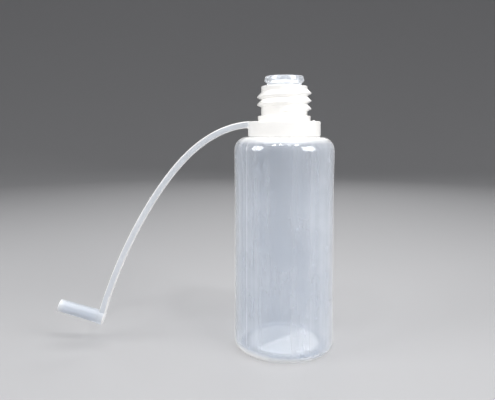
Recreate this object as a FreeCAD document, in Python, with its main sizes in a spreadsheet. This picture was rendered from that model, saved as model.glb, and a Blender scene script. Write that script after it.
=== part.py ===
"""Dropper bottle: a blow-moulded squeeze bottle, its dropper plug, and a tethered tip cap.

Millimetres, +Z up. The origin is the centre of the standing face, on the bottle's axis.
The tether leaves the neck towards -X.
"""
import FreeCAD, Part
import math
import os

import Sketcher

os.makedirs("parts", exist_ok=True)

DIMENSIONS = {
    # bottle body
    "panel_radius": 16.25,
    "heel_radius": 16.3,
    "shoulder_radius": 16.45,
    "panel_bottom": 11.0,
    "panel_top": 55.0,
    "heel_top": 5.0,
    "shoulder_bottom": 63.5,
    "shoulder_height": 69.25,
    "wall": 1.0,
    "heel_corner": 2.2,
    "shoulder_corner": 4.4,
    "pushup_radius": 11.6,
    "pushup_slope": 0.5,
    "pushup_height": 0.9,
    # bottle neck
    "neck_base_radius": 8.0,
    "neck_radius": 7.55,
    "neck_top": 85.75,
    "bore_radius": 5.5,
    "bead_radius": 8.6,
    "bead_bottom": 74.45,
    "bead_top": 76.1,
    # buttress thread
    "thread_radius": 8.9,
    "thread_pitch": 2.5,
    "thread_turns": 2.5,
    "thread_start": 77.82,
    "thread_flat": 0.3,
    "thread_load_flank": 0.63,
    "thread_root_depth": 0.3,
    # dropper plug
    "plug_radius": 5.45,
    "plug_lead_in": 0.3,
    "plug_bottom": 78.6,
    "plug_seat_gap": 0.05,
    "plug_bore_radius": 4.3,
    "plate_bottom": 84.45,
    "plate_top": 85.85,
    "drip_radius": 0.6,
    "drip_boss_radius": 1.9,
    "drip_boss_top_radius": 1.3,
    "drip_boss_top": 87.9,
    "lip_groove_radius": 5.65,
    "lip_groove_top": 86.6,
    "lip_radius": 6.5,
    "lip_bead_bottom": 87.4,
    "lip_bead_top": 87.75,
    "lip_top_radius": 6.22,
    "lip_top": 88.95,
    "cup_radius": 4.9,
    "cup_mouth_radius": 5.3,
    # tether ring
    "ring_radius": 11.85,
    "ring_bore_radius": 8.05,
    "ring_bottom": 69.4,
    "ring_top": 74.3,
    "ring_edge": 0.35,
    "gate_radius": 0.4,
    "gate_height": 0.35,
    "gate_offset": 9.7,
    # strap
    "strap_thick": 2.16,
    "strap_width": 2.6,
    "strap_gap": 0.5,
    "strap_first_joint": 1.6,
    "strap_link_length": 5.2,
    # tip cap
    "cap_position": 84.95,
    "cap_head_radius": 2.3,
    "cap_head_thick": 2.34,
    "cap_strap_overlap": 0.8,
    "cap_root_radius": 2.17,
    "cap_mouth_radius": 1.98,
    "cap_length": 13.3,
    "cap_bore_radius": 1.3,
    "cap_bore_depth": 12.2,
    "cap_edge": 0.4,
}
STRAP_LINKS = 14

# The strap droops more steeply as it goes: sharply near the ring, then gently.
ROOT_DROOP = 5.0      # degrees below level where it leaves the ring
EASY_BEND = 0.355     # degrees per mm all along
ROOT_BEND = 38.4      # further degrees gained near the ring
ROOT_BEND_REACH = 24.3  # mm over which they are gained

doc = FreeCAD.newDocument("dropper_bottle")
sheet = doc.addObject("Spreadsheet::Sheet", "dimensions")
for row, (alias, size) in enumerate(DIMENSIONS.items(), start=1):
    sheet.set(f"A{row}", alias)
    sheet.set(f"B{row}", str(size))
    sheet.setAlias(f"B{row}", alias)
doc.recompute()


class Size:
    """A length worked out from the sheet: its value, and the expression that gives it."""

    def __init__(self, value, text):
        self.value = value
        self.text = text

    def __add__(self, other):
        return Size(self.value + other.value, f"({self.text} + {other.text})")

    def __sub__(self, other):
        return Size(self.value - other.value, f"({self.text} - {other.text})")

    def __mul__(self, factor):
        return Size(self.value * factor, f"({self.text} * {factor})")


ZERO = Size(0.0, "0")
D = {name: Size(getattr(sheet, name), f"dimensions.{name}") for name in DIMENSIONS}


def origin_plane(body, role):
    """The body's own XY_Plane, XZ_Plane or YZ_Plane."""
    return next(f for f in body.Origin.OriginFeatures if f.Role == role)


def new_sketch(body, name, role="XZ_Plane"):
    sketch = body.newObject("Sketcher::SketchObject", name)
    sketch.AttachmentSupport = (origin_plane(body, role), [""])
    sketch.MapMode = "FlatFace"
    return sketch


def join_corners(sketch, count):
    """Close a ring of lines or arcs, joining each side to the next where their ends meet."""
    for side in range(count):
        after = (side + 1) % count
        ends = [
            (sketch.getPoint(side, a).distanceToPoint(sketch.getPoint(after, b)), a, b)
            for a in (1, 2)
            for b in (1, 2)
        ]
        _, a, b = min(ends)
        sketch.addConstraint(Sketcher.Constraint("Coincident", side, a, after, b))


def pin_corner(sketch, side, kind, axis, size):
    """Place the first point of a side by its distance along one axis."""
    if size.value == 0:
        sketch.addConstraint(Sketcher.Constraint("PointOnObject", side, 1, axis))
        return
    index = sketch.addConstraint(Sketcher.Constraint(kind, -1, 1, side, 1, size.value))
    sketch.setExpression(f"Constraints[{index}]", size.text)


def outline(body, name, corners):
    """A closed outline in the XZ plane, every corner placed from the sheet."""
    sketch = new_sketch(body, name)
    points = [FreeCAD.Vector(x.value, z.value, 0) for x, z in corners]
    for start, end in zip(points, points[1:] + points[:1]):
        sketch.addGeometry(Part.LineSegment(start, end))
    join_corners(sketch, len(corners))
    for side, (x, z) in enumerate(corners):
        pin_corner(sketch, side, "DistanceX", -2, x)
        pin_corner(sketch, side, "DistanceY", -1, z)
    return sketch


def turned(body, kind, name, sketch):
    """A Revolution or Groove of a sketch all the way round the body's axis."""
    feature = body.newObject(kind, name)
    feature.Profile = sketch
    feature.ReferenceAxis = (sketch, ["V_Axis"])
    feature.Angle = 360
    sketch.Visibility = False
    doc.recompute()
    return feature


def circles_at(shape, places):
    """Names of the round edges that lie at the given (radius, height) places."""
    names = []
    for number, edge in enumerate(shape.Edges, start=1):
        if not isinstance(edge.Curve, Part.Circle):
            continue
        here = (edge.Curve.Radius, edge.Curve.Center.z)
        if any(math.dist(here, place) < 0.01 for place in places):
            names.append(f"Edge{number}")
    return names


def rounded(body, name, base, edges, radius):
    """Round the named edges of a feature to a radius from the sheet."""
    fillet = body.newObject("PartDesign::Fillet", name)
    fillet.Base = (base, edges)
    fillet.Radius = radius.value
    fillet.setExpression("Radius", radius.text)
    doc.recompute()
    return fillet


def new_body(label):
    body = doc.addObject("PartDesign::Body", label)
    body.Label = label
    return body


def make_bottle():
    body = new_body("bottle")
    outer = outline(body, "bottle_outside", [
        (ZERO, D["pushup_height"]),
        (D["pushup_radius"] - D["pushup_slope"], D["pushup_height"]),
        (D["pushup_radius"], ZERO),
        (D["heel_radius"], ZERO),
        (D["heel_radius"], D["heel_top"]),
        (D["panel_radius"], D["panel_bottom"]),
        (D["panel_radius"], D["panel_top"]),
        (D["shoulder_radius"], D["shoulder_bottom"]),
        (D["shoulder_radius"], D["shoulder_height"]),
        (D["neck_base_radius"], D["shoulder_height"]),
        (D["neck_base_radius"], D["bead_bottom"]),
        (D["bead_radius"], D["bead_bottom"]),
        (D["bead_radius"], D["bead_top"]),
        (D["neck_radius"], D["bead_top"]),
        (D["neck_radius"], D["neck_top"]),
        (ZERO, D["neck_top"]),
    ])
    turned(body, "PartDesign::Revolution", "bottle_solid", outer)

    inside_radius = D["panel_radius"] - D["wall"]
    floor_radius = D["pushup_radius"] - D["pushup_slope"]
    ceiling = D["shoulder_height"] - D["wall"]
    inner = outline(body, "bottle_inside", [
        (ZERO, D["pushup_height"] + D["wall"]),
        (floor_radius, D["pushup_height"] + D["wall"]),
        (D["pushup_radius"], D["wall"]),
        (inside_radius, D["wall"]),
        (inside_radius, ceiling),
        (D["bore_radius"], ceiling),
        (D["bore_radius"], D["neck_top"] + D["wall"]),
        (ZERO, D["neck_top"] + D["wall"]),
    ])
    solid = turned(body, "PartDesign::Groove", "bottle_hollow", inner)
    corners = [
        ("inner_heel", inside_radius, D["wall"], D["heel_corner"] - D["wall"]),
        ("inner_shoulder", inside_radius, ceiling, D["shoulder_corner"] - D["wall"]),
        ("heel", D["heel_radius"], ZERO, D["heel_corner"]),
        ("shoulder", D["shoulder_radius"], D["shoulder_height"], D["shoulder_corner"]),
    ]
    for name, radius, height, corner in corners:
        edges = circles_at(solid.Shape, [(radius.value, height.value)])
        solid = rounded(body, f"{name}_round", solid, edges, corner)

    add_thread(body)
    return body


def add_thread(body):
    """The neck's right-handed buttress thread, starting at the front."""
    root = D["neck_radius"] - D["thread_root_depth"]
    half_flat = D["thread_flat"] * 0.5
    lead_flank = D["thread_radius"] - D["neck_radius"]
    top = D["thread_start"] + half_flat + lead_flank
    bottom = D["thread_start"] - half_flat - D["thread_load_flank"]
    ridge = outline(body, "thread_ridge", [
        (root, bottom),
        (D["neck_radius"], bottom),
        (D["thread_radius"], D["thread_start"] - half_flat),
        (D["thread_radius"], D["thread_start"] + half_flat),
        (D["neck_radius"], top),
        (root, top),
    ])
    front = FreeCAD.Rotation(FreeCAD.Vector(0, 1, 0), -90)
    ridge.AttachmentOffset = FreeCAD.Placement(FreeCAD.Vector(), front)
    doc.recompute()
    thread = body.newObject("PartDesign::AdditiveHelix", "thread")
    thread.Profile = ridge
    thread.ReferenceAxis = (ridge, ["V_Axis"])
    thread.Mode = "pitch-turns-angle"
    thread.Pitch = sheet.thread_pitch
    thread.Turns = sheet.thread_turns
    thread.setExpression("Pitch", "dimensions.thread_pitch")
    thread.setExpression("Turns", "dimensions.thread_turns")
    ridge.Visibility = False
    doc.recompute()


def make_plug():
    body = new_body("dropper_plug")
    seat = D["neck_top"] + D["plug_seat_gap"]
    profile = outline(body, "plug_profile", [
        (D["drip_radius"], D["plate_bottom"]),
        (D["plug_bore_radius"], D["plate_bottom"]),
        (D["plug_bore_radius"], D["plug_bottom"]),
        (D["plug_radius"] - D["plug_lead_in"], D["plug_bottom"]),
        (D["plug_radius"], D["plug_bottom"] + D["plug_lead_in"] * 3),
        (D["plug_radius"], seat),
        (D["lip_groove_radius"], seat),
        (D["lip_groove_radius"], D["lip_groove_top"]),
        (D["lip_radius"], D["lip_bead_bottom"]),
        (D["lip_radius"], D["lip_bead_top"]),
        (D["lip_top_radius"], D["lip_top"]),
        (D["cup_mouth_radius"], D["lip_top"]),
        (D["cup_radius"], D["plate_top"]),
        (D["drip_boss_radius"], D["plate_top"]),
        (D["drip_boss_top_radius"], D["drip_boss_top"]),
        (D["drip_radius"], D["drip_boss_top"]),
    ])
    turned(body, "PartDesign::Revolution", "plug_solid", profile)
    return body


def strap_angle(distance):
    """How far the strap points below level, in degrees, this far along from the ring."""
    return ROOT_DROOP + EASY_BEND * distance + ROOT_BEND * math.erf(distance / ROOT_BEND_REACH)


def strap_direction(distance):
    angle = math.radians(strap_angle(distance))
    return FreeCAD.Vector(-math.cos(angle), 0, -math.sin(angle))


def strap_point(distance):
    """The strap's centreline, from the ring's side, by adding up short steps."""
    steps = 200
    step = distance / steps
    point = FreeCAD.Vector(-sheet.ring_radius, 0, sheet.ring_top - sheet.strap_thick / 2)
    for number in range(steps):
        point += strap_direction((number + 0.5) * step) * step
    return point


def strap_side(distance, offset):
    """A point beside the centreline, above it where the offset is positive."""
    ahead = strap_direction(distance)
    return strap_point(distance) + FreeCAD.Vector(ahead.z, 0, -ahead.x) * offset


def in_sketch(point):
    """XZ-plane coordinates of a point in space."""
    return FreeCAD.Vector(point.x, point.z, 0)


def strap_stretch(body, name, start, end, round_start=True, round_end=True):
    """A curved length of strap as a pad, with full-round noses where it meets a joint."""
    half = sheet.strap_thick / 2
    first = start + (half if round_start else 0)
    last = end - (half if round_end else 0)
    middle = (first + last) / 2
    above = [in_sketch(strap_side(place, half)) for place in (first, middle, last)]
    below = [in_sketch(strap_side(place, -half)) for place in (last, middle, first)]
    sketch = new_sketch(body, f"{name}_profile")
    sketch.addGeometry(Part.Arc(*above))
    add_strap_end(sketch, above[-1], below[0], in_sketch(strap_point(end)), round_end)
    sketch.addGeometry(Part.Arc(*below))
    add_strap_end(sketch, below[-1], above[0], in_sketch(strap_point(start)), round_start)
    join_corners(sketch, 4)
    pad = body.newObject("PartDesign::Pad", f"{name}_pad")
    pad.Profile = sketch
    pad.Midplane = True
    pad.Length = sheet.strap_width
    pad.setExpression("Length", "dimensions.strap_width")
    sketch.Visibility = False
    doc.recompute()


def add_strap_end(sketch, corner, other_corner, tip, is_round):
    """A full-round nose through its tip, its radius half the strap's thickness, or a flat end."""
    if not is_round:
        sketch.addGeometry(Part.LineSegment(corner, other_corner))
        return
    nose = sketch.addGeometry(Part.Arc(corner, tip, other_corner))
    index = sketch.addConstraint(
        Sketcher.Constraint("Radius", nose, sheet.strap_thick / 2)
    )
    sketch.setExpression(f"Constraints[{index}]", "dimensions.strap_thick / 2")


def joint_place(number):
    """Distance along the strap of a flex joint, counted from 0 at the ring."""
    return sheet.strap_first_joint + number * sheet.strap_link_length


def make_ring():
    body = new_body("tether_ring")
    profile = outline(body, "ring_profile", [
        (D["ring_bore_radius"], D["ring_bottom"]),
        (D["ring_radius"], D["ring_bottom"]),
        (D["ring_radius"], D["ring_top"]),
        (D["ring_bore_radius"], D["ring_top"]),
    ])
    solid = turned(body, "PartDesign::Revolution", "ring_solid", profile)
    rims = circles_at(solid.Shape, [
        (sheet.ring_radius, sheet.ring_bottom),
        (sheet.ring_radius, sheet.ring_top),
    ])
    rounded(body, "ring_rims", solid, rims, D["ring_edge"])
    strap_stretch(body, "strap_root", -2.0, joint_place(0) - sheet.strap_gap / 2, False, True)

    gate = new_sketch(body, "gate_circle", "XY_Plane")
    gate.AttachmentOffset = FreeCAD.Placement(
        FreeCAD.Vector(sheet.gate_offset, 0, sheet.ring_top), FreeCAD.Rotation()
    )
    gate.addGeometry(Part.Circle(FreeCAD.Vector(), FreeCAD.Vector(0, 0, 1), sheet.gate_radius))
    gate.addConstraint(Sketcher.Constraint("Coincident", 0, 3, -1, 1))
    size = gate.addConstraint(Sketcher.Constraint("Radius", 0, sheet.gate_radius))
    gate.setExpression(f"Constraints[{size}]", "dimensions.gate_radius")
    nub = body.newObject("PartDesign::Pad", "gate_nub")
    nub.Profile = gate
    nub.Length = sheet.gate_height
    nub.setExpression("Length", "dimensions.gate_height")
    gate.Visibility = False
    doc.recompute()
    return body


def make_strap_link(number):
    """One stiff stretch of the flexible strap, between flex joints number-1 and number."""
    body = new_body(f"strap_link_{number}")
    start = joint_place(number - 1) + sheet.strap_gap / 2
    end = joint_place(number) - sheet.strap_gap / 2
    strap_stretch(body, f"link_{number}", start, end)
    return body


def make_tip_cap():
    """The small cap: the strap's last stretch, a round head, and a tapered tube square to it."""
    start = joint_place(STRAP_LINKS) + sheet.strap_gap / 2
    strap_end = new_body("cap_strap_end")
    end = sheet.cap_position - sheet.cap_head_radius + sheet.cap_strap_overlap
    strap_stretch(strap_end, "cap_strap_end", start, end, True, False)

    centre = strap_point(sheet.cap_position)
    along = strap_direction(sheet.cap_position)
    outward = FreeCAD.Vector(along.z, 0, -along.x)
    turn = FreeCAD.Rotation(FreeCAD.Vector(0, 0, 1), outward)
    half = sheet.cap_head_thick / 2
    mouth = centre + outward * (half + sheet.cap_length)

    head = doc.addObject("Part::Cylinder", "cap_head")
    head.setExpression("Radius", "dimensions.cap_head_radius")
    head.setExpression("Height", "dimensions.cap_head_thick")
    head.Placement = FreeCAD.Placement(centre - outward * half, turn)
    tube = doc.addObject("Part::Cone", "cap_tube")
    tube.setExpression("Radius1", "dimensions.cap_root_radius")
    tube.setExpression("Radius2", "dimensions.cap_mouth_radius")
    tube.setExpression("Height", "dimensions.cap_length + dimensions.cap_head_thick / 2")
    tube.Placement = FreeCAD.Placement(centre, turn)
    doc.recompute()
    rounded_head = doc.addObject("Part::Fillet", "cap_rounded_head")
    rounded_head.Base = head
    back = [
        number for number, edge in enumerate(head.Shape.Edges, start=1)
        if isinstance(edge.Curve, Part.Circle)
        and (edge.Curve.Center - centre).dot(outward) < 0
    ]
    rounded_head.Edges = [(number, sheet.cap_edge, sheet.cap_edge) for number in back]
    shell = doc.addObject("Part::MultiFuse", "cap_outside")
    shell.Shapes = [strap_end, rounded_head, tube]
    bore = doc.addObject("Part::Cylinder", "cap_bore")
    bore.setExpression("Radius", "dimensions.cap_bore_radius")
    bore.setExpression("Height", "dimensions.cap_bore_depth")
    bore.Placement = FreeCAD.Placement(mouth - outward * sheet.cap_bore_depth, turn)
    cap = doc.addObject("Part::Cut", "tip_cap")
    cap.Base = shell
    cap.Tool = bore
    cap.Label = "tip_cap"
    doc.recompute()
    return cap


nodes = [make_bottle(), make_plug(), make_ring()]
nodes += [make_strap_link(number) for number in range(1, STRAP_LINKS + 1)]
nodes.append(make_tip_cap())
doc.recompute()

for thing in doc.Objects:
    if "Invalid" in thing.State or "Error" in thing.State:
        raise RuntimeError(f"{thing.Label} did not rebuild: {thing.State}")
for node in nodes:
    shape = node.Shape
    if shape.isNull() or not shape.isValid() or len(shape.Solids) != 1:
        raise RuntimeError(f"{node.Label} is not one sound solid")
for node in nodes:
    node.Shape.exportStep(f"parts/{node.Label}.step")
    box = node.Shape.BoundBox
    print(
        f"{node.Label:16s} {node.Shape.Volume:9.1f} mm3"
        f"  x {box.XMin:6.1f} {box.XMax:6.1f}  y {box.YMin:5.1f} {box.YMax:5.1f}"
        f"  z {box.ZMin:5.1f} {box.ZMax:5.1f}"
    )
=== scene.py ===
"""A translucent polyethylene dropper bottle with a tethered tip cap, on a pale floor.

Lengths are written in millimetres and turned into metres where a mesh is made.
The row frame has +Z up the bottle's axis and its origin in the standing face.
"""
import math

import bmesh
import bpy
from mathutils import Matrix, Vector


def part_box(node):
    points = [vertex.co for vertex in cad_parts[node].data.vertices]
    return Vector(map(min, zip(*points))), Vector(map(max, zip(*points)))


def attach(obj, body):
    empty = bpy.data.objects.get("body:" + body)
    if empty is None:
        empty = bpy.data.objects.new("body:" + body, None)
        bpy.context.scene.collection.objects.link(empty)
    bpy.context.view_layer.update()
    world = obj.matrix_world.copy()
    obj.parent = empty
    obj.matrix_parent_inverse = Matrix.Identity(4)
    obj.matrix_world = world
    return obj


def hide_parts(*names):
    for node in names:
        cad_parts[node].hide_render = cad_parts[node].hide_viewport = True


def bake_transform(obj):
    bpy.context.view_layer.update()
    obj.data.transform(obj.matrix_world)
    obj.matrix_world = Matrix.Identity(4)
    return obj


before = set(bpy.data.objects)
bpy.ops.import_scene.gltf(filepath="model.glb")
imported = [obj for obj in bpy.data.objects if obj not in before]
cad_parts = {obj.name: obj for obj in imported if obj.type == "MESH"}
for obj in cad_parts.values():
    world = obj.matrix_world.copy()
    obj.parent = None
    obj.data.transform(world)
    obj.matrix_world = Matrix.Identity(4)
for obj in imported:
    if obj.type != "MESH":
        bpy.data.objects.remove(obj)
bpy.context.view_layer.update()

MM = 0.001


def box_mm(node):
    low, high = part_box(node)
    return low / MM, high / MM


def smoothstep(x):
    x = min(max(x, 0.0), 1.0)
    return x * x * (3 - 2 * x)


def rises(value, start, width):
    """0 up to start, 1 from start + width on, and a smooth step between."""
    return smoothstep((value - start) / width)


def falls(value, end, width):
    """1 up to end - width, 0 from end on, and a smooth step between."""
    return smoothstep((end - value) / width)


def bell(offset, width):
    """1 at no offset, fading out on both sides."""
    return math.exp(-((offset / width) ** 2))


# ---------------------------------------------------------------- sizes, in mm
BOTTLE_HIGH = box_mm("bottle")[1]
PLUG_LOW, PLUG_HIGH = box_mm("dropper_plug")
RING_LOW = box_mm("tether_ring")[0]

NECK_TOP = BOTTLE_HIGH.z
NECK_HEIGHT = 16.5
SHOULDER_RADIUS = BOTTLE_HIGH.y
PANEL_RADIUS = SHOULDER_RADIUS - 0.2
HEEL_RADIUS = SHOULDER_RADIUS - 0.15
SHOULDER_HEIGHT = NECK_TOP - NECK_HEIGHT
WALL = 1.0
HEEL_TOP = 5.5
PANEL_BOTTOM = 12
PANEL_TOP = 54
SHOULDER_BOTTOM = 63.5
HEEL_CORNER = 2.2
SHOULDER_CORNER = 4.4
PUSHUP_RADIUS = 11.6
PUSHUP_SLOPE = 0.5
PUSHUP_HEIGHT = 0.9
FOOT_INSIDE = 11.9
FOOT_OUTSIDE = 14.4
OUTLINE_STEP = 1.5

NECK_BASE_RADIUS = 8.0
NECK_RADIUS = 7.55
BORE_RADIUS = 5.5
BEAD_RADIUS = 8.6
BEAD_BOTTOM = SHOULDER_HEIGHT + 5.2
BEAD_TOP = BEAD_BOTTOM + 1.65

THREAD_DEPTH = 1.35
THREAD_PITCH = 2.5
THREAD_TURNS = 2.5
THREAD_START = SHOULDER_HEIGHT + 8.57
THREAD_START_ANGLE = -90.0
THREAD_FLAT = 0.3
THREAD_LOAD_FLANK = 0.63
THREAD_SOFTNESS = 0.09
THREAD_RUN_OUT = 24.0
# Heights of the neck's rows of vertices over each turn's crest, one pitch in all.
THREAD_ROWS = (
    -1.0, -0.9, -0.8, -0.66, -0.4, -0.22, -0.13, 0.0, 0.13, 0.22, 0.6, 1.05, 1.36, 1.46,
)

MOULD_SEAM_ANGLE = 41.0
SEAM_OFFSETS = (-0.3, -0.18, -0.09, 0, 0.09, 0.18, 0.3)
PARTING_PROUD = 0.05
PARTING_WIDTH = 0.1
WELD_REACH = 9.6
WELD_WIDTH = 0.32
WELD_INSIDE = 0.28
WELD_UNDER = 0.35

RING_RADIUS = 11.85
RING_BORE_RADIUS = 8.05
RING_BOTTOM = RING_LOW.z
RING_TOP = RING_BOTTOM + 4.9
GATE_OFFSET = 9.7

STRAP_THICK = 2.16
STRAP_WIDTH = 2.6
STRAP_EDGE = 0.55
STRAP_FIRST_JOINT = 1.6
STRAP_LINK_LENGTH = 5.2
STRAP_LINKS = 14
STRAP_OVERLAP = 0.4
STRAP_FLARE = 0.35
ROOT_DROOP = 5.0
EASY_BEND = 0.355
ROOT_BEND = 38.4
ROOT_BEND_REACH = 24.3

CAP_POSITION = 84.95
CAP_HEAD_RADIUS = 2.3
CAP_ROOT_RADIUS = 2.17
CAP_MOUTH_RADIUS = 1.98
CAP_LENGTH = 13.3
CAP_BORE_RADIUS = 1.3
CAP_BORE_DEPTH = 12.2


# ---------------------------------------------------------------- mesh helpers
def rounded_path(corners, closed=False, arc_step=12.0):
    """Points along straight runs whose corners, given as (r, z, radius), are arcs."""
    count = len(corners)
    path = []
    for i, (r, z, radius) in enumerate(corners):
        here = Vector((r, z))
        ends = not closed and i in (0, count - 1)
        if radius <= 0 or ends:
            path.append((r, z))
            continue
        before = (Vector(corners[i - 1][:2]) - here).normalized()
        after = (Vector(corners[(i + 1) % count][:2]) - here).normalized()
        half = before.angle(after) / 2
        centre = here + (before + after).normalized() * (radius / math.sin(half))
        first = here + before * (radius / math.tan(half)) - centre
        last = here + after * (radius / math.tan(half)) - centre
        turn = first.angle(last)
        steps = max(2, math.ceil(math.degrees(turn) / arc_step))
        side = 1 if first.x * last.y - first.y * last.x > 0 else -1
        for step in range(steps + 1):
            a = side * turn * step / steps
            c, s = math.cos(a), math.sin(a)
            path.append((
                centre.x + first.x * c - first.y * s,
                centre.y + first.x * s + first.y * c,
            ))
    return path


def subdivided(path, longest, closed=False):
    """The same path with points added so that no stretch is longer than asked."""
    ends = path[1:] + path[:1] if closed else path[1:]
    out = []
    for (r0, z0), (r1, z1) in zip(path, ends):
        steps = max(1, math.ceil(math.hypot(r1 - r0, z1 - z0) / longest))
        out += [
            (r0 + (r1 - r0) * k / steps, z0 + (z1 - z0) * k / steps)
            for k in range(steps)
        ]
    return out if closed else out + [path[-1]]


def even_turn(count):
    return [2 * math.pi * k / count for k in range(count)]


def seam_turn(count, seam_degrees, radius):
    """Angles round a turn with extra ones beside the mould's parting plane."""
    angles = even_turn(count)
    for side in (0.0, 180.0):
        middle = math.radians(seam_degrees + side)
        angles += [middle + offset / radius for offset in SEAM_OFFSETS]
    turn = sorted(a % (2 * math.pi) for a in angles)
    return [a for a, after in zip(turn, turn[1:] + [turn[0] + 7]) if after - a > 1e-4]


def lathe(bm, path, angles, closed=False):
    """Turn a path of (r, z) round the Z axis and add its faces to bm."""
    rings = []
    for r, z in path:
        if r < 1e-6:
            rings.append([bm.verts.new((0, 0, z))])
        else:
            turn = [(r * math.cos(a), r * math.sin(a), z) for a in angles]
            rings.append([bm.verts.new(point) for point in turn])
    pairs = list(zip(rings, rings[1:]))
    if closed:
        pairs.append((rings[-1], rings[0]))
    count = len(angles)
    for lower, upper in pairs:
        for k in range(count):
            n = (k + 1) % count
            corners = [lower[k % len(lower)], lower[n % len(lower)]]
            corners += [upper[n % len(upper)], upper[k % len(upper)]]
            corners = list(dict.fromkeys(corners))
            if len(corners) > 2:
                bm.faces.new(corners)
    return rings


def finished(bm, name, sharp=50.0):
    """A smooth-shaded object in metres from a bmesh in millimetres, its normals outward."""
    bmesh.ops.remove_doubles(bm, verts=bm.verts, dist=1e-4)
    bmesh.ops.dissolve_degenerate(bm, edges=bm.edges, dist=1e-4)
    bmesh.ops.recalc_face_normals(bm, faces=bm.faces)
    bmesh.ops.scale(bm, vec=(MM, MM, MM), verts=bm.verts)
    mesh = bpy.data.meshes.new(name)
    bm.to_mesh(mesh)
    bm.free()
    mesh.shade_smooth()
    mesh.set_sharp_from_angle(angle=math.radians(sharp))
    piece = bpy.data.objects.new(name, mesh)
    bpy.context.scene.collection.objects.link(piece)
    return piece


def joined(name, parts, sharp=40.0):
    """The union of closed meshes as one object."""
    base, *others = parts
    for part in others:
        union = base.modifiers.new(part.name, "BOOLEAN")
        union.operation = "UNION"
        union.solver = "EXACT"
        union.object = part
    evaluated = base.evaluated_get(bpy.context.evaluated_depsgraph_get())
    mesh = bpy.data.meshes.new_from_object(evaluated)
    mesh.name = name
    for part in parts:
        bpy.data.objects.remove(part)
    mesh.shade_smooth()
    mesh.set_sharp_from_angle(angle=math.radians(sharp))
    piece = bpy.data.objects.new(name, mesh)
    bpy.context.scene.collection.objects.link(piece)
    return piece


# ---------------------------------------------------------------- materials
def polyethylene(name, thin, thick, roughness, shade, coat=0.5, streaks=0.0):
    """Natural polyethylene: milky, glossy and partly clear, and whiter where it is thick.

    thin and thick are (colour, share of light let through) for the thinnest wall and a
    solid lump. The mesh's "thickness" attribute goes between them, 0 for thin and 1 for
    thick, and past either end only the colour goes on changing. Besides how thick the wall
    is, the attribute holds painted light: painted highlights along edges and rims, a painted
    glow toward the sides and bottom edge of the bottle, and painted shade on the ring that
    the bottle stands on. shade is the share of the lights' rays that a wall lets on to what
    is behind it.
    """
    material = bpy.data.materials.new(name)
    material.use_nodes = True
    nodes, links = material.node_tree.nodes, material.node_tree.links
    shader = nodes["Principled BSDF"]
    shader.inputs["IOR"].default_value = 1.51
    shader.inputs["Coat Weight"].default_value = coat
    shader.inputs["Coat Roughness"].default_value = 0.08
    shader.inputs["Sheen Weight"].default_value = 0.8
    shader.inputs["Sheen Roughness"].default_value = 0.25

    place = nodes.new("ShaderNodeTexCoord")

    def noise(scale, detail, source=None):
        node = nodes.new("ShaderNodeTexNoise")
        node.inputs["Scale"].default_value = scale
        node.inputs["Detail"].default_value = detail
        links.new(source or place.outputs["Object"], node.inputs["Vector"])
        return node.outputs["Fac"]

    def ranged(source, low, high, out_low, out_high):
        node = nodes.new("ShaderNodeMapRange")
        node.inputs["From Min"].default_value = low
        node.inputs["From Max"].default_value = high
        node.inputs["To Min"].default_value = out_low
        node.inputs["To Max"].default_value = out_high
        links.new(source, node.inputs["Value"])
        return node.outputs["Result"]

    def added(one, other):
        node = nodes.new("ShaderNodeMath")
        links.new(one, node.inputs[0])
        links.new(other, node.inputs[1])
        return node.outputs["Value"]

    # The attribute holds how thick the wall is together with painted highlights and painted
    # shade.
    wall = nodes.new("ShaderNodeAttribute")
    wall.attribute_name = "thickness"
    drawn = nodes.new("ShaderNodeMapping")
    drawn.inputs["Scale"].default_value = (1, 1, 0.015)
    links.new(place.outputs["Object"], drawn.inputs["Vector"])
    streak = ranged(noise(500.0, 2.0, drawn.outputs["Vector"]), 0.3, 0.7, -streaks, streaks)
    cloud = ranged(noise(75.0, 4.0), 0.3, 0.7, -0.05, 0.05)
    thickness = added(added(wall.outputs["Fac"], cloud), streak)

    tint = nodes.new("ShaderNodeMix")
    tint.data_type = "RGBA"
    tint.clamp_factor = False
    tint.inputs["A"].default_value = (*thin[0], 1)
    tint.inputs["B"].default_value = (*thick[0], 1)
    links.new(thickness, tint.inputs["Factor"])
    links.new(tint.outputs["Result"], shader.inputs["Base Color"])
    let_through = ranged(thickness, 0, 1, thin[1], thick[1])
    links.new(let_through, shader.inputs["Transmission Weight"])
    links.new(
        ranged(noise(240.0, 3.0), 0.3, 0.7, roughness - 0.04, roughness + 0.05),
        shader.inputs["Roughness"],
    )

    skin = ranged(noise(1500.0, 2.0), 0, 1, 0, 0.2)
    wave = noise(160.0, 2.0)
    bump = nodes.new("ShaderNodeBump")
    bump.inputs["Strength"].default_value = 0.05
    bump.inputs["Distance"].default_value = 0.0002
    links.new(added(skin, wave), bump.inputs["Height"])
    links.new(bump.outputs["Normal"], shader.inputs["Normal"])

    path = nodes.new("ShaderNodeLightPath")
    veil = nodes.new("ShaderNodeBsdfTransparent")
    veil.inputs["Color"].default_value = (*[shade] * 3, 1)
    mix = nodes.new("ShaderNodeMixShader")
    links.new(path.outputs["Is Shadow Ray"], mix.inputs["Fac"])
    links.new(shader.outputs["BSDF"], mix.inputs[1])
    links.new(veil.outputs["BSDF"], mix.inputs[2])
    links.new(mix.outputs["Shader"], nodes["Material Output"].inputs["Surface"])
    return material


def set_thickness(piece, measure):
    """Set the value of every vertex's thickness attribute, which holds painted light as well
    as how thick the wall is, in place of any that the mesh already had.
    """
    mesh = piece.data
    values = [measure(v.co / MM) for v in mesh.vertices]
    layer = mesh.attributes.get("thickness")
    if layer is None:
        layer = mesh.attributes.new("thickness", "FLOAT", "POINT")
    layer.data.foreach_set("value", values)


def dress(piece, material):
    piece.data.materials.clear()
    piece.data.materials.append(material)


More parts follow.
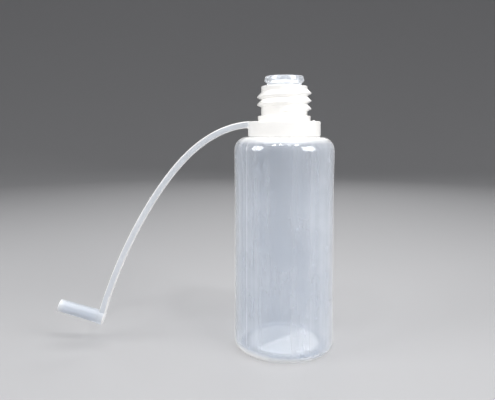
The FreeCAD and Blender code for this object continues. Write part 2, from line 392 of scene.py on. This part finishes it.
# ---------------------------------------------------------------- bottle
def thread_height(offset, share):
    """How far the buttress ridge stands out at this height above its crest's middle."""
    total = 0.0
    for nudge in (-1, -0.5, 0, 0.5, 1):
        s = offset + nudge * THREAD_SOFTNESS
        flat = THREAD_FLAT / 2
        if s > flat:
            drop = s - flat
        elif s < -flat:
            drop = (-flat - s) * THREAD_DEPTH / THREAD_LOAD_FLANK
        else:
            drop = 0.0
        total += max(0.0, THREAD_DEPTH * share - drop)
    return total / 5


def thread_share(turned):
    """The ridge's full height, fading out where it starts and stops; turned in degrees."""
    ends = min(turned, THREAD_TURNS * 360 - turned) / THREAD_RUN_OUT + 0.5
    return smoothstep(ends)


def thread_stand_out(offset, turned):
    """How far the thread stands out of the neck, by the highest of the near turns."""
    return max(
        thread_height(offset + near * THREAD_PITCH, thread_share(turned - near * 360))
        for near in (-1, 0, 1)
    )


def threaded_neck(bm, bottom, top, angles):
    """The neck's wall between two heights, its rows of vertices following the thread."""
    start = math.radians(THREAD_START_ANGLE)
    turns = math.ceil((top - bottom) / THREAD_PITCH) + 6
    turns_below = math.ceil((THREAD_START - bottom) / THREAD_PITCH + 2)
    first = THREAD_START - THREAD_PITCH * turns_below
    row_count = len(THREAD_ROWS)
    grid = []
    for number in range(turns * row_count):
        turn, row = divmod(number, row_count)
        line = []
        for a in angles:
            swept = a / (2 * math.pi) + turn
            crest = first + THREAD_PITCH * swept
            z = crest + THREAD_ROWS[row]
            turned = (crest - THREAD_START) / THREAD_PITCH * 360
            if bottom < z < top:
                out = thread_stand_out(THREAD_ROWS[row], turned)
            else:
                z = min(max(z, bottom), top)
                out = 0.0
            r = NECK_RADIUS + out
            at = a + start
            line.append(bm.verts.new((r * math.cos(at), r * math.sin(at), z)))
        grid.append(line)
    last = len(angles) - 1
    for number in range(len(grid) - 1):
        low, high = grid[number], grid[number + 1]
        for k in range(last):
            bm.faces.new((low[k], low[k + 1], high[k + 1], high[k]))
        wrapped = number + row_count
        if wrapped + 1 < len(grid):
            bm.faces.new((low[last], grid[wrapped][0], grid[wrapped + 1][0], high[last]))


def bottle_wall():
    """The blow-moulded wall, outside and inside, up to its threaded neck."""
    ceiling = SHOULDER_HEIGHT - WALL
    inside = PANEL_RADIUS - WALL
    neck_bottom = BEAD_TOP + 0.4
    neck_top = NECK_TOP - 0.3
    low = rounded_path([
        (0, PUSHUP_HEIGHT, 0),
        (PUSHUP_RADIUS - PUSHUP_SLOPE, PUSHUP_HEIGHT, 0.4),
        (PUSHUP_RADIUS, 0, 0.4),
        (HEEL_RADIUS, 0, HEEL_CORNER),
        (HEEL_RADIUS, HEEL_TOP, 8),
        (PANEL_RADIUS, PANEL_BOTTOM, 30),
        (PANEL_RADIUS, PANEL_TOP, 40),
        (SHOULDER_RADIUS, SHOULDER_BOTTOM, 14),
        (SHOULDER_RADIUS, SHOULDER_HEIGHT, SHOULDER_CORNER),
        (NECK_BASE_RADIUS, SHOULDER_HEIGHT, 0.2),
        (NECK_BASE_RADIUS, BEAD_BOTTOM, 0.1),
        (BEAD_RADIUS, BEAD_BOTTOM, 0.15),
        (BEAD_RADIUS, BEAD_TOP, 0.22),
        (NECK_RADIUS, BEAD_TOP, 0.3),
        (NECK_RADIUS, neck_bottom, 0),
    ])
    high = rounded_path([
        (NECK_RADIUS, neck_top, 0),
        (NECK_RADIUS, NECK_TOP, 0.25),
        (BORE_RADIUS, NECK_TOP, 0.2),
        (BORE_RADIUS, ceiling, 1.6),
        (inside, ceiling, SHOULDER_CORNER - WALL),
        (inside, WALL, HEEL_CORNER - WALL),
        (PUSHUP_RADIUS + 0.4, WALL, 0.5),
        (PUSHUP_RADIUS - 0.3, PUSHUP_HEIGHT + WALL, 0.5),
        (0, PUSHUP_HEIGHT + WALL, 0),
    ])
    turn = seam_turn(180, MOULD_SEAM_ANGLE - THREAD_START_ANGLE, PANEL_RADIUS)
    shifted = [a + math.radians(THREAD_START_ANGLE) for a in turn]
    bm = bmesh.new()
    lathe(bm, subdivided(low, OUTLINE_STEP), shifted)
    threaded_neck(bm, neck_bottom, neck_top, turn)
    lathe(bm, subdivided(high, OUTLINE_STEP), shifted)
    add_mould_marks(bm)
    return finished(bm, "bottle_wall")


def add_mould_marks(bm):
    """The fine parting line up both sides, and the pinch-off weld across the base."""
    across = math.radians(MOULD_SEAM_ANGLE)
    for v in bm.verts:
        r = math.hypot(v.co.x, v.co.y)
        off = abs(v.co.x * math.sin(across) - v.co.y * math.cos(across))
        if r > PANEL_RADIUS - WALL / 2 and v.co.z < SHOULDER_HEIGHT - 1:
            proud = PARTING_PROUD * bell(off, PARTING_WIDTH)
            v.co.x *= 1 + proud / r
            v.co.y *= 1 + proud / r
        elif r < PUSHUP_RADIUS and v.co.z < PUSHUP_HEIGHT + 2 * WALL:
            weld = bell(off, WELD_WIDTH) * falls(r, WELD_REACH, 1.5)
            inside = v.co.z > PUSHUP_HEIGHT + WALL / 2
            v.co.z += weld * (WELD_INSIDE if inside else -WELD_UNDER)


def bottle_thickness(at):
    """Thin in the panel, thick in the neck and the shoulder's root, uneven in the base.

    The numbers are shares of the way from the thinnest wall to a solid lump. The ring that
    the bottle stands on gets values below 0, a painted shade, because the photograph shows
    it darker than the panel. Painted light also whitens the wall toward its sides and along
    its bottom edge.
    """
    r = max(math.hypot(at.x, at.y), 0.001)
    if at.z > SHOULDER_HEIGHT + 0.1 or r < BEAD_RADIUS and at.z > SHOULDER_HEIGHT / 2:
        return 1.0
    across = math.radians(MOULD_SEAM_ANGLE)
    front = at.x * math.sin(across) - at.y * math.cos(across)
    if at.z < PUSHUP_HEIGHT + 2 * WALL and r < FOOT_OUTSIDE:
        near_half = smoothstep(front / 0.8 + 0.5)
        weld = bell(front + 0.5, 0.45)
        disc = falls(r, PUSHUP_RADIUS + 0.1, 0.5)
        # Painted shade: the ring the bottle stands on is made darker than the thinnest wall.
        painted_foot_shade = rises(r, FOOT_INSIDE, 0.5) * falls(r, FOOT_OUTSIDE, 0.5)
        return disc * (0.42 + 0.42 * near_half + 0.25 * weld) - 0.7 * painted_foot_shade

    shoulder = 0.6 * rises(at.z, SHOULDER_HEIGHT - 2.3, 1.8)
    # Partly a thicker bottom corner, partly a painted highlight: the wall is whiter along its
    # bottom edge, most at the front left.
    lean = -(at.x + at.y) / (r * math.sqrt(2))
    left_front = max(lean, 0)
    low = falls(at.z, 1.3 + 2.0 * left_front, 1.0 + 1.6 * left_front)
    heel_and_painted_edge = (0.6 + 0.25 * lean) * low * rises(r, FOOT_OUTSIDE, 0.6)
    parting = 0.25 * bell(front, 0.16) * rises(at.z, 2, 3)
    # Painted light: the wall is made whiter toward its sides at plus and minus x, and a little
    # more on the plus-x side.
    side = at.x / r
    panel = 0.09 + 0.14 * side * side + 0.04 * side
    return panel + max(shoulder, heel_and_painted_edge, parting)


# ---------------------------------------------------------------- plug and ring
def dropper_plug():
    """The press-in plug: a skirt, a plate with its drip hole, and a lip with a snap bead."""
    path = rounded_path([
        (0.6, NECK_TOP - 1.3, 0),
        (4.3, NECK_TOP - 1.3, 0.3),
        (4.3, PLUG_LOW.z, 0.15),
        (5.15, PLUG_LOW.z, 0.15),
        (5.45, PLUG_LOW.z + 0.9, 0.4),
        (5.45, NECK_TOP + 0.05, 0.05),
        (5.65, NECK_TOP + 0.05, 0.05),
        (5.65, NECK_TOP + 0.85, 0.3),
        (6.5, NECK_TOP + 1.65, 0.2),
        (6.5, NECK_TOP + 2.0, 0.25),
        (6.22, PLUG_HIGH.z, 0.22),
        (5.3, PLUG_HIGH.z, 0.22),
        (4.9, NECK_TOP + 0.1, 0.4),
        (1.9, NECK_TOP + 0.1, 0.3),
        (1.3, NECK_TOP + 2.15, 0.2),
        (0.6, NECK_TOP + 2.15, 0.1),
    ], closed=True)
    bm = bmesh.new()
    lathe(bm, path, even_turn(128), closed=True)
    return finished(bm, "dropper_plug_body")


def tether_ring():
    """The collar on the shoulder, with the stub where its moulding gate was cut off."""
    path = rounded_path([
        (RING_BORE_RADIUS, RING_BOTTOM, 0.2),
        (RING_RADIUS, RING_BOTTOM, 0.3),
        (RING_RADIUS, RING_TOP, 0.38),
        (RING_BORE_RADIUS, RING_TOP, 0.25),
    ], closed=True)
    bm = bmesh.new()
    lathe(bm, path, even_turn(144), closed=True)
    ring = finished(bm, "tether_ring_body")

    stub = rounded_path([
        (0, RING_TOP - 0.2, 0),
        (0.5, RING_TOP - 0.2, 0),
        (0.5, RING_TOP, 0.05),
        (0.38, RING_TOP + 0.34, 0.12),
        (0, RING_TOP + 0.28, 0),
    ])
    bm = bmesh.new()
    lathe(bm, stub, even_turn(24))
    bmesh.ops.translate(bm, vec=(GATE_OFFSET, 0, 0), verts=bm.verts)
    return ring, finished(bm, "gate_stub")


# ---------------------------------------------------------------- strap and tip cap
def strap_angle(distance):
    """How far the strap points below level, in degrees."""
    return ROOT_DROOP + EASY_BEND * distance + ROOT_BEND * math.erf(distance / ROOT_BEND_REACH)


def strap_direction(distance):
    angle = math.radians(strap_angle(distance))
    return Vector((-math.cos(angle), 0, -math.sin(angle)))


def strap_point(distance):
    """The strap's centreline, from the ring's side, by adding up short steps."""
    steps = 200
    step = distance / steps
    point = Vector((-RING_RADIUS, 0, RING_TOP - STRAP_THICK / 2))
    for number in range(steps):
        point += strap_direction((number + 0.5) * step) * step
    return point


def strap_section():
    """A rounded rectangle, (across, outward) from the centreline."""
    w, t = STRAP_WIDTH / 2, STRAP_THICK / 2
    corners = [(-w, -t), (w, -t), (w, t), (-w, t)]
    path = rounded_path([(x, y, STRAP_EDGE) for x, y in corners], closed=True, arc_step=18)
    return subdivided(path, 0.3, closed=True)


def strap_painted_edges(out):
    """The strap's value for the thickness attribute, this far out from the middle: whiter
    along its edges, a painted highlight.
    """
    return 0.2 + 0.8 * rises(abs(out), STRAP_THICK / 2 - 0.45, 0.35)


def strap_length(bm, start, end, cap_start=False, cap_end=False):
    """A length of strap, open at its ends unless capped, flared where it leaves the ring."""
    section = strap_section()
    thickness = bm.verts.layers.float.new("thickness")
    steps = max(2, math.ceil((end - start) / 0.6))
    rings = []
    for number in range(steps + 1):
        place = start + (end - start) * number / steps
        centre, ahead = strap_point(place), strap_direction(place)
        outward = Vector((ahead.z, 0, -ahead.x))
        flare = STRAP_FLARE * max(0.0, 1 - max(place, 0.0)) ** 2
        ring = []
        for across, out in section:
            across *= 1 + flare
            out -= flare if out < 0 else 0.0
            vert = bm.verts.new(centre + Vector((0, across, 0)) + outward * out)
            # The strap's edges get a painted highlight.
            vert[thickness] = strap_painted_edges(out)
            ring.append(vert)
        rings.append(ring)
    count = len(section)
    for one, other in zip(rings, rings[1:]):
        for k in range(count):
            n = (k + 1) % count
            bm.faces.new((one[k], one[n], other[n], other[k]))
    if cap_start:
        bm.faces.new(rings[0])
    if cap_end:
        bm.faces.new(rings[-1])


def joint_place(number):
    return STRAP_FIRST_JOINT + number * STRAP_LINK_LENGTH


def strap():
    """One continuous strap, in lengths that each span one joint.

    Each length runs from the middle of one link to the middle of the next, so the
    lengths meet in the middle of a link. The first starts inside the ring.
    """
    links = [f"strap_link_{n}" for n in range(1, STRAP_LINKS + 1)]
    bodies = ["tether_ring", *links, "tip_cap"]
    pieces = []
    for number in range(STRAP_LINKS + 1):
        start = joint_place(number) - STRAP_LINK_LENGTH / 2 if number else -STRAP_OVERLAP
        end = joint_place(number) + STRAP_LINK_LENGTH / 2
        bm = bmesh.new()
        strap_length(bm, start, end)
        piece = finished(bm, f"strap_{number + 1}")
        first = start if number else 0.0
        strap_point(first) * MM
        strap_point(end) * MM
        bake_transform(piece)
        pieces.append(piece)
        if number:
            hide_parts(bodies[number])
    return pieces


def tip_cap():
    """The end of the strap, the round head, and the tapered tube with its blind bore."""
    start = joint_place(STRAP_LINKS) + STRAP_LINK_LENGTH / 2
    bm = bmesh.new()
    strap_length(bm, start, CAP_POSITION, True, True)
    strap_end = finished(bm, "cap_strap_end")

    half = STRAP_THICK / 2 + 0.01
    head_path = rounded_path([
        (0, -half, 0),
        (CAP_HEAD_RADIUS, -half, 0.5),
        (CAP_HEAD_RADIUS, half, 0.25),
        (0, half, 0),
    ])
    root = half - 0.3
    mouth = half + CAP_LENGTH
    tube_path = rounded_path([
        (0, root, 0),
        (CAP_ROOT_RADIUS, root, 0),
        (CAP_MOUTH_RADIUS, mouth, 0.2),
        (CAP_BORE_RADIUS, mouth, 0.2),
        (CAP_BORE_RADIUS, mouth - CAP_BORE_DEPTH, 0.5),
        (0, mouth - CAP_BORE_DEPTH, 0),
    ])
    ahead = strap_direction(CAP_POSITION)
    outward = Vector((ahead.z, 0, -ahead.x))
    turn = Vector((0, 0, 1)).rotation_difference(outward).to_matrix().to_4x4()
    to_cap = Matrix.Translation(strap_point(CAP_POSITION)) @ turn
    parts = [strap_end]
    for name, path in (("cap_head", head_path), ("cap_tube", subdivided(tube_path, 2.0))):
        bm = bmesh.new()
        lathe(bm, path, even_turn(72))
        bmesh.ops.transform(bm, matrix=to_cap, verts=bm.verts)
        parts.append(finished(bm, name))
    cap = joined("tip_cap_body", parts)

    open_at(cap, start)
    return cap


def open_at(cap, place):
    """Take off the flat end that the union needed, where the strap goes on."""
    seam, along = strap_point(place) * MM, strap_direction(place)

    def on_end(vert):
        offset = vert.co - seam
        return abs(offset.dot(along)) < 1e-6 and offset.length < 3 * MM

    bm = bmesh.new()
    bm.from_mesh(cap.data)
    ends = [face for face in bm.faces if all(on_end(vert) for vert in face.verts)]
    bmesh.ops.delete(bm, geom=ends, context="FACES_ONLY")
    bm.to_mesh(cap.data)
    bm.free()


def cap_thickness(at):
    """As the strap's in its flat head, painted edge highlights included; in the tube, thin,
    with a painted highlight on the mouth's rim.
    """
    ahead = strap_direction(CAP_POSITION)
    offset = at - strap_point(CAP_POSITION)
    out = offset.dot(Vector((ahead.z, 0, -ahead.x)))
    if out < 0 or offset.dot(ahead) < -CAP_ROOT_RADIUS - 0.05:
        return strap_painted_edges(out)
    # A painted highlight whitens the mouth's rim.
    return 0.05 + 0.6 * rises(out, STRAP_THICK / 2 + CAP_LENGTH - 0.35, 0.25)


# ---------------------------------------------------------------- the object
THIN = (0.67, 0.71, 0.77)
THICK = (0.97, 0.96, 0.94)
bottle_plastic = polyethylene(
    "natural_polyethylene_wall", (THIN, 0.79), (THICK, 0.1),
    roughness=0.09, shade=0.8, streaks=0.045,
)
plug_plastic = polyethylene(
    "natural_polyethylene_plug", (THIN, 0.85), (THICK, 0.2),
    roughness=0.12, shade=0.8,
)
tether_plastic = polyethylene(
    "natural_polyethylene_tether", (THIN, 0.6), (THICK, 0.1),
    roughness=0.34, shade=0.6, coat=0.15,
)

bottle = bottle_wall()
set_thickness(bottle, bottle_thickness)
dress(bottle, bottle_plastic)
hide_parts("bottle")
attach(bottle, "bottle")

plug = dropper_plug()
set_thickness(plug, lambda at: 0.25 if at.z > NECK_TOP + 0.3 else 0.9)
dress(plug, plug_plastic)
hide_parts("dropper_plug")
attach(plug, "dropper_plug")

ring, stub = tether_ring()
for part in (ring, stub):
    set_thickness(part, lambda at: 1.0)
    dress(part, tether_plastic)
    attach(part, "tether_ring")
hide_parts("tether_ring")

for length in strap():
    dress(length, tether_plastic)

cap = tip_cap()
set_thickness(cap, cap_thickness)
dress(cap, tether_plastic)
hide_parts("tip_cap")
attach(cap, "tip_cap")


# ---------------------------------------------------------------- studio
CAMERA_TILT = 2.639


def plain(name, colour, roughness):
    material = bpy.data.materials.new(name)
    material.use_nodes = True
    shader = material.node_tree.nodes["Principled BSDF"]
    shader.inputs["Base Color"].default_value = (*colour, 1)
    shader.inputs["Roughness"].default_value = roughness
    return material


def floor():
    """A level floor that sweeps up into a wall well outside the lights."""
    path = rounded_path([(0, 0, 0), (1000, 0, 450), (1000, 1000, 0)])
    bm = bmesh.new()
    lathe(bm, path, even_turn(96))
    plane = finished(bm, "floor")
    plane.data.materials.append(plain("pale_floor", (0.46, 0.46, 0.47), 0.6))


def softbox(name, place, target, size, power, colour=(1, 1, 1)):
    light = bpy.data.lights.new(name, "AREA")
    light.shape = "RECTANGLE"
    light.size, light.size_y = size[0] * MM, size[1] * MM
    light.energy = power
    light.color = colour
    lamp = bpy.data.objects.new(name, light)
    lamp.location = Vector(place) * MM
    aim = (Vector(target) - Vector(place)).to_track_quat("-Z", "Y")
    lamp.rotation_mode = "QUATERNION"
    lamp.rotation_quaternion = aim
    bpy.context.scene.collection.objects.link(lamp)


def camera():
    """The photograph's viewpoint: just above shoulder height, looking slightly down."""
    lens = bpy.data.cameras.new("camera")
    lens.sensor_width = 36
    lens.lens = 36.85
    lens.shift_x, lens.shift_y = -0.0026, -0.101
    lens.clip_start, lens.clip_end = 0.01, 20
    eye = bpy.data.objects.new("camera", lens)
    eye.location = Vector((-11.64, -166.83, 72.56)) * MM
    eye.rotation_euler = (math.radians(90 - CAMERA_TILT), 0, 0)
    bpy.context.scene.collection.objects.link(eye)
    bpy.context.scene.camera = eye


floor()
middle = (-10, 0, 55)
softbox("overhead", (0, 40, 460), middle, (460, 340), 1.0)
softbox("right_window", (330, -230, 235), middle, (220, 240), 1.2)
softbox("left_window", (-380, -140, 240), middle, (200, 220), 1.0)
softbox("back_window", (60, 430, 290), middle, (320, 160), 0.4)
for number, power in enumerate((0.22, 0.12, 0.12, 0.45)):
    place = (-150 + number * 100, -220, 440)
    softbox(f"ceiling_lamp_{number}", place, middle, (45, 45), power)

bpy.context.scene.view_settings.view_transform = "Standard"
world = bpy.data.worlds.new("studio")
world.use_nodes = True
world.node_tree.nodes["Background"].inputs["Color"].default_value = (0.09, 0.092, 0.098, 1)
world.node_tree.nodes["Background"].inputs["Strength"].default_value = 1.0
bpy.context.scene.world = world
camera()
